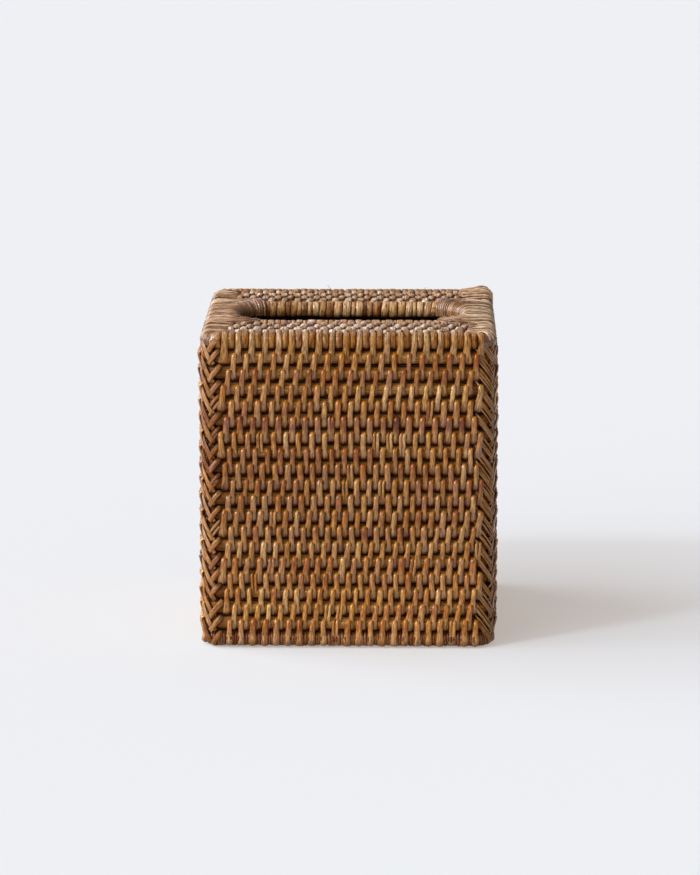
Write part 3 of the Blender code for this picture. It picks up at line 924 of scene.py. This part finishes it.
def hoop_wrapping(steps=12):
    """Strands wound round the long sides of the hoop, close and a little aslant."""
    routes = Routes()
    long_half = HOOP_X - HOOP_BEND + HOOP_BEND * (math.pi / 2 - FAN_START)
    for back in (True, False):
        centre = 0 if back else HOOP_LENGTH / 2
        tones = Tones(0.45, 0.55, 0.14, 3)
        place = -long_half
        while place < long_half:
            tone, _ = tones.step()
            tone -= BACK_DARKER * max(0, -place / long_half) * back
            wide = rng.choice(WRAP_GIRTHS)
            place += wide * WRAP_WIDTH * WRAP_HALF
            middle, on = hoop_place(centre + place)
            outward = Vector((on.y, -on.x, 0)) * -1
            slant = drift(-0.1, 0.6) * (1 if back else -1)
            lift = drift(-0.12, 0.16)
            route = []
            for step in range(steps):
                turn = 2 * math.pi * step / steps
                normal = outward * math.cos(turn) + UP * math.sin(turn)
                shift = on * slant * math.sin(turn)
                route.append((middle + normal * (ROD_RADIUS + 0.15 * MM + lift) + shift, normal, 1.0))
            routes.add(route, tone, closed=True, girth=wide)
            place += wide * WRAP_WIDTH * WRAP_HALF
    lay("slot_wrapping", routes, WRAP_FINISH, HOOP_CANE, ["slot_binding"])


def eased(start, start_way, end, end_way, steps):
    """Points of a smooth curve from one place to another, without its two ends."""
    points = []
    reach = (end - start).length * 0.42
    for step in range(1, steps):
        share = step / steps
        rest = 1 - share
        points.append(
            start * rest**3
            + (start + start_way * reach) * 3 * rest**2 * share
            + (end - end_way * reach) * 3 * rest * share**2
            + end * share**3
        )
    return points


def swayed(points, sway, half_wave):
    """Spots on points that sway to the side in a wave."""
    spots = []
    for step, point in enumerate(points, 1):
        swung = Vector((0, sway * math.sin(math.pi * step / half_wave), 0))
        spots.append((point + swung, UP, 1.0))
    return spots


def rib(across):
    """How deep a band lies at a place, over the ends of the panel rods and between them."""
    depth = RIB_DEPTH * (1.0 if abs(across) > FIRST_PANEL_PLACE - PITCH / 2 else 0.55)
    turn = 2 * math.pi * (abs(across) - FIRST_PANEL_PLACE) / PITCH
    return depth * (1 - math.cos(turn)) / 2


def edge_start(side, along, lift):
    """A strand's first points, up the outside of a side's top rod to its crown, and its heading."""
    wall = "left" if side < 0 else "right"
    route = []
    for degrees, share in EDGE_TURNS:
        turn = math.radians(degrees)
        above = share * lift if share > 0 else share * MM
        reach = ROD_RADIUS + above - share * rib(along) * (share > 0)
        out, height = EDGE_X + reach * math.cos(turn), TOP_Z + reach * math.sin(turn)
        point, heading = on_wall(wall, side * along, out, height)
        route.append((point, heading * math.cos(turn) + UP * math.sin(turn), 1.0))
    return route, heading


def fan_strand(side, share, lift):
    """A strand from a side edge over the end of the hoop and down into the slot."""
    across = HOOP_Y - HOOP_BEND
    reach = share * (across + HOOP_BEND * FAN_START)
    flat = min(abs(reach), across)
    turn = (abs(reach) - flat) / HOOP_BEND
    sign = math.copysign(1, share)
    radial = Vector((side * math.cos(turn), sign * math.sin(turn), 0))
    middle = Vector((side * (HOOP_X - HOOP_BEND), sign * flat, TOP_Z)) + radial * HOOP_BEND
    route, heading = edge_start(side, share * FAN_HALF, lift)
    crown = route[-1][0]
    landing = middle + radial * (ROD_RADIUS * 0.5) + UP * (ROD_RADIUS + 0.35 * MM + lift)
    steps = max(2, round((landing - crown).length / (3.5 * MM)))
    sway = drift(0.8)
    route += swayed(eased(crown, -heading, landing, -radial, steps), sway, steps)
    for degrees in SLOT_TURNS:
        angle = math.radians(degrees)
        normal = radial * math.cos(angle) + UP * math.sin(angle)
        route.append((middle + normal * (ROD_RADIUS + 0.25 * MM + lift), normal, 0.95))
    return route


def band_strand(side, along, inner, lift):
    """A strand from a side edge over the ends of the panel rods, fanned at the corners."""
    route, heading = edge_start(side, along, lift)
    crown = route[-1][0]
    top = TOP_Z + ROD_RADIUS + lift - rib(crown.y)
    end_y = math.copysign(min(abs(crown.y), EDGE_Y - ROD_RADIUS * 0.6), along)
    end = Vector((side * inner, end_y + drift(0.5), top - 0.2 * MM - 0.55 * lift))
    sway = drift(0.7)
    route += swayed(eased(crown, -heading, end, Vector((-side, 0, 0)), 5), sway, 2.5)
    route.append((end, UP, 0.9))
    route.append((end + Vector((-side * 1.2 * MM, 0, -1.1 * MM)), UP, 0.7))
    return route


def bundle(side, low, high):
    """Places, girths, lifts and tones of fine strands that lie in bundles, between two ends."""
    strands = []
    along = low
    while along < high:
        tone, lift = rng.uniform(0.32, 0.74) + RIGHT_PALER * (side > 0), drift(0.0, 0.35)
        count = rng.randint(3, 6)
        for strand in range(count):
            girth = rng.uniform(0.7, 1.25)
            along += girth * FINE_WIDTH * FINE_HALF
            crown = BUNDLE_CROWN * (1 - (2 * (strand + 0.5) / count - 1) ** 2)
            own_tone = DARK_TONE if rng.random() < DARK_CHANCE else tone + rng.gauss(0, 0.12)
            strands.append((along, girth, lift + crown + drift(0.15), own_tone))
            along += girth * FINE_WIDTH * FINE_HALF
        along += rng.uniform(0.3, 1.0) * BAND_GAP
    return strands


def side_wrapping():
    """Fine strands over the side edges of the top, fanned out to the ends of the hoop."""
    corner_reach = EDGE_Y - WALL_BEND + CORNER_ROUND * BAND_END
    for name, side in (("left", -1), ("right", 1)):
        routes = Routes()
        for step in range(UNDER_STRANDS + 1):
            share = 2 * step / UNDER_STRANDS - 1
            routes.add(fan_strand(side, share, -0.45 * MM), UNDER_TONE, girth=UNDER_GIRTH)
            along = FAN_HALF + (corner_reach - FAN_HALF) * step / UNDER_STRANDS
            for end in (-1, 1):
                route = band_strand(side, end * along, BAND_INNER_X, -0.5 * MM)
                routes.add(route, UNDER_TONE, girth=UNDER_GIRTH)
        for along, girth, lift, tone in bundle(side, -FAN_HALF, FAN_HALF):
            if side > 0 and along < -0.5 * FAN_HALF:  # the thick strands at its near end
                girth, lift = 1.5 * girth, lift + drift(0.1, 0.7)
            share = max(-1, min(1, along / FAN_HALF))
            routes.add(fan_strand(side, share, lift), tone, girth=girth)
        for end in (-1, 1):
            inner = BAND_INNER_X
            for along, girth, lift, tone in bundle(side, FAN_HALF, corner_reach):
                inner += drift(0.6)
                inner = max(BAND_INNER_X - 1.6 * MM, min(BAND_INNER_X + 1.2 * MM, inner))
                routes.add(band_strand(side, end * along, inner, lift), tone, girth=1.1 * girth)
        if side > 0:
            for along in RAISED_STRANDS:
                inner = BAND_INNER_X - drift(0.5, 3.0)
                pile = PILE_HEIGHT * max(0, along - PILE_FROM) / PILE_LENGTH
                route = band_strand(side, along * MM, inner, (rng.uniform(0.8, 1.5) + pile) * MM)
                routes.add(route, rng.uniform(0.4, 0.8), girth=rng.uniform(1.5, 2.2))
        binding = [f"{name}_edge_binding"]
        lay(f"{name}_edge_wrapping", routes, BAND_FINISH, BAND_CANE, binding)


def foot_wrapping(steps=10):
    """Narrow strands wound closely round the lowest rod."""
    routes = Routes()
    foot = ROD_HEIGHTS[0]
    tones = Tones(0.4, 0.6)
    for wall, (_, _, edge, half) in WALLS.items():
        along = -(half - WALL_BEND)
        end = half - WALL_BEND + CORNER_ROUND * math.pi / 2
        while along < end:
            tone, girth = tones.step()
            girth *= rng.choice(FOOT_WRAP_GIRTHS)
            along += girth * FOOT_WRAP_WIDTH * FOOT_WRAP_HALF
            slant = drift(0.3)
            reach = ROD_RADIUS + 0.05 * MM + drift(-0.1, 0.08)
            route = []
            for step in range(steps):
                turn = 2 * math.pi * (step + 0.5) / steps
                out = edge + reach * math.cos(turn)
                height = max(foot + reach * math.sin(turn), LOWEST)
                point, outward = on_wall(wall, along + slant * math.sin(turn), out, height)
                route.append((point, outward * math.cos(turn) + UP * math.sin(turn), 1.0))
            routes.add(route, tone, closed=True, girth=girth)
            along += girth * FOOT_WRAP_WIDTH * FOOT_WRAP_HALF
    lay("foot_wrapping", routes, PLAIT_FINISH, FOOT_CANE, ["foot_binding"])


def corner_surface(wall, turn_length, height, lift):
    """A place on a corner's outside, by its length from the diagonal, and the outward direction."""
    _, _, edge, half = WALLS[wall]
    along = half - WALL_BEND + CORNER_ROUND * math.pi / 4 + turn_length
    level = min(max(height, ROD_HEIGHTS[0]), TOP_Z)
    up = height - level
    out = math.sqrt(max(0, ROD_RADIUS**2 - min(abs(up), ROD_RADIUS) ** 2))
    point, outward = on_wall(wall, along, edge + out + lift, height)
    tilt = math.asin(max(-1, min(1, up / ROD_RADIUS)))
    return point, outward * math.cos(tilt) + UP * math.sin(tilt)


def plait_arm(wall, side, high, reach, shift):
    """One arm of a corner's plait, down from a wall to past the ridge where the arms meet."""
    end = side * PLAIT_RIDGE - 1.3 * MM
    route = []
    for share, lift in ARM_LIFTS:
        offset = reach + (end - reach) * share
        bow = PLAIT_BOW * math.sin(math.pi * share)
        height = high - (reach - offset) * PLAIT_SLOPE + bow
        height = min(max(height, LOWEST), TOP_Z + 0.75 * ROD_RADIUS)
        point, facing = corner_surface(wall, side * offset, height, lift * MM + shift)
        route.append((point, facing, 1.0 - 0.2 * (share == 1)))
    return route


def corner_plaits():
    """Herringbone plaits down the four corners: arms from both walls in turn."""
    for wall, corner in CORNERS.items():
        routes = Routes()
        fine = corner == "front_right"
        tones = Tones(0.5, 0.7, 0.16)
        for course in range(-1, len(ROD_HEIGHTS) - 1):
            groove = TOP_Z - (course + 0.5) * PITCH
            for side in (1, -1) if course >= 0 else (1,):
                reach = PLAIT_REACH + drift(0.5)
                count = rng.choice((3, 4)) if fine else rng.choice((1, 1, 1, 1, 2))
                tone, girth = tones.step()
                paler = (TOP_ARM_PALER if course < 0 else 0.0) + RIGHT_PLAIT_PALER * fine
                tone += rng.uniform(-0.15, 0.2) + paler
                width = SHARED_GIRTHS[count - 1]
                for strand in range(count):
                    step = (strand - (count - 1) / 2) * PLAIT_WIDTH * width * PLAIT_SPACING
                    high = groove + step + drift(0.5)
                    if side < 0:
                        high += PLAIT_SLOPE * 2 * PLAIT_RIDGE
                    start = reach + drift(0.5)
                    route = plait_arm(wall, side, high, start, drift(0, 0.12))
                    routes.add(route, tone + rng.uniform(-0.06, 0.06), girth=girth * width)
        lay(f"{corner}_plait", routes, PLAIT_FINISH, PLAIT_CANE, [f"{corner}_lacing"])


# Where each starts, the way that it springs out, and its length in millimetres
LOOSE_FIBRES = (
    ((-0.0100, EDGE_Y, TOP_Z + ROD_RADIUS), (-0.75, 0.2, 0.7), 3.4),
    ((0.0350, EDGE_Y, TOP_Z + ROD_RADIUS), (0.8, 0.3, 0.5), 2.6),
    ((EDGE_X + ROD_RADIUS, -0.0600, 0.0470), (0.7, -0.5, -0.5), 3.0),
    ((EDGE_X + ROD_RADIUS, 0.0200, 0.1050), (0.8, 0.5, 0.4), 2.8),
    ((-EDGE_X - ROD_RADIUS, 0.0310, 0.0780), (-0.8, -0.4, 0.5), 3.0),
    ((0.0210, EDGE_Y + ROD_RADIUS, 0.0900), (0.4, 0.8, 0.5), 3.2),
)


def loose_fibres():
    """A few fine fibres that have sprung from the weave."""
    routes = Routes()
    for start, way, length in LOOSE_FIBRES:
        start, way = Vector(start), Vector(way).normalized()
        facing = way.cross(UP).normalized()
        route = []
        for step in range(-2, 6):
            share = step / 5
            point = start + way * (share * length * MM) + UP * (0.4 * MM * share**2)
            route.append((point, facing, 1.0 - 0.6 * max(0, share)))
        routes.add(route, 0.3)
    lay("loose_fibres", routes, PLAIT_FINISH, LOOSE_CANE)


def bent_rod_path(height, seam, steps=8):
    """The way of a wall rod from its seam at the back, round the four walls, to its other end."""
    path = [Vector((seam + ROD_END_GAP / 2, EDGE_Y, height))]
    for side_x, side_y, start in ((1, 1, 90), (1, -1, 0), (-1, -1, -90), (-1, 1, -180)):
        middle = Vector((side_x * (EDGE_X - WALL_BEND), side_y * (EDGE_Y - WALL_BEND), height))
        for step in range(steps + 1):
            turn = math.radians(start - 90 * step / steps)
            path.append(middle + Vector((math.cos(turn), math.sin(turn), 0)) * WALL_BEND)
    path.append(Vector((seam - ROD_END_GAP / 2, EDGE_Y, height)))
    return path


def core_rods():
    """Round rods in place of the faceted ones."""
    paths = {}
    for course, name in enumerate(WALL_RODS):
        seam = (course % SEAM_PLACES - (SEAM_PLACES - 1) / 2) * SEAM_STEP
        paths[name] = bent_rod_path(ROD_HEIGHTS[course], seam)
    for name in PANEL_RODS:
        low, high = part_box(name)
        middle = (low + high) / 2
        paths[name] = [Vector((x, middle.y, middle.z)) for x in (low.x, high.x)]
    for name, path in paths.items():
        routes = Routes()
        routes.add([(point, UP, 1.0) for point in path], 0.5)
        lay(f"{name}_core", routes, CORE_FINISH, CORE_CANE, [name])


def finish_solids():
    """Gives the solids that stay their cane and core."""
    for name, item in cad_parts.items():
        if name.startswith("course_strand_") or name.endswith("_panel_strand"):
            # the strands between the rods: dark cane as painted shade
            finish = DEEP_SHADE_FINISH
        elif name == "slot_hoop":
            finish = SOLID_CORE
        else:
            continue
        for place in item.material_slots:
            place.material = finish


def pale_studio():
    """A wide pale floor, soft light from the left, and the photograph's camera."""
    bpy.ops.mesh.primitive_plane_add(size=FLOOR_SIZE, location=(0, 0, 0))
    floor = bpy.context.object
    floor.name = "floor"
    material, tree, shader = start_finish("pale_floor", 0.9, shine=0.0)
    paths = add(tree, "ShaderNodeLightPath").outputs
    seen = maths(tree, "MAXIMUM", paths["Is Camera Ray"], paths["Is Glossy Ray"])
    color = mixed(tree, seen, FLOOR_BOUNCE, FLOOR_COLOR)
    feed(tree, shader, {"Base Color": color, "Emission Color": FLOOR_GLOW, "Emission Strength": seen})
    floor.data.materials.append(material)

    world = bpy.data.worlds.new("studio")
    bpy.context.scene.world = world
    world.use_nodes = True
    tree = world.node_tree
    background = tree.nodes["Background"]
    direction = put(tree, "ShaderNodeTexCoord", out="Generated")
    across = put(tree, "ShaderNodeSeparateXYZ", {0: direction}, "X")
    room = spread(tree, across, -1.0, 1.0, *ROOM_LIGHT)
    towards = {0: direction, 1: SCREEN}
    facing = put(tree, "ShaderNodeVectorMath", towards, "Value", operation="DOT_PRODUCT")
    screen = maths(tree, "POWER", maths(tree, "MAXIMUM", facing, 0.0), SCREEN_FOCUS)
    strength = maths(tree, "MULTIPLY_ADD", screen, SCREEN_LIGHT, room)
    feed(tree, background, {"Color": ROOM_COLOR, "Strength": strength})

    for name, (side, width, strength) in (("window", WINDOW), ("gleam", GLEAM)):
        light = bpy.data.lights.new(name, "SUN")
        light.angle = math.radians(width)
        light.energy = strength
        lamp = bpy.data.objects.new(name, light)
        bpy.context.scene.collection.objects.link(lamp)
        lamp.rotation_euler = (-Vector(side)).to_track_quat("-Z", "Y").to_euler()

    data = bpy.data.cameras.new("camera")
    data.sensor_width = SENSOR
    data.lens = CAMERA_LENS
    camera = bpy.data.objects.new("camera", data)
    bpy.context.scene.collection.objects.link(camera)
    camera.location = CAMERA_PLACE
    camera.rotation_euler = (math.pi / 2 - CAMERA_DOWN, 0, CAMERA_TURN)
    bpy.context.scene.camera = camera
    bpy.context.scene.view_settings.view_transform = "Standard"


core_rods()
course_stitching()
top_stitching()
hoop_wrapping()
side_wrapping()
foot_wrapping()
corner_plaits()
loose_fibres()
finish_solids()
pale_studio()
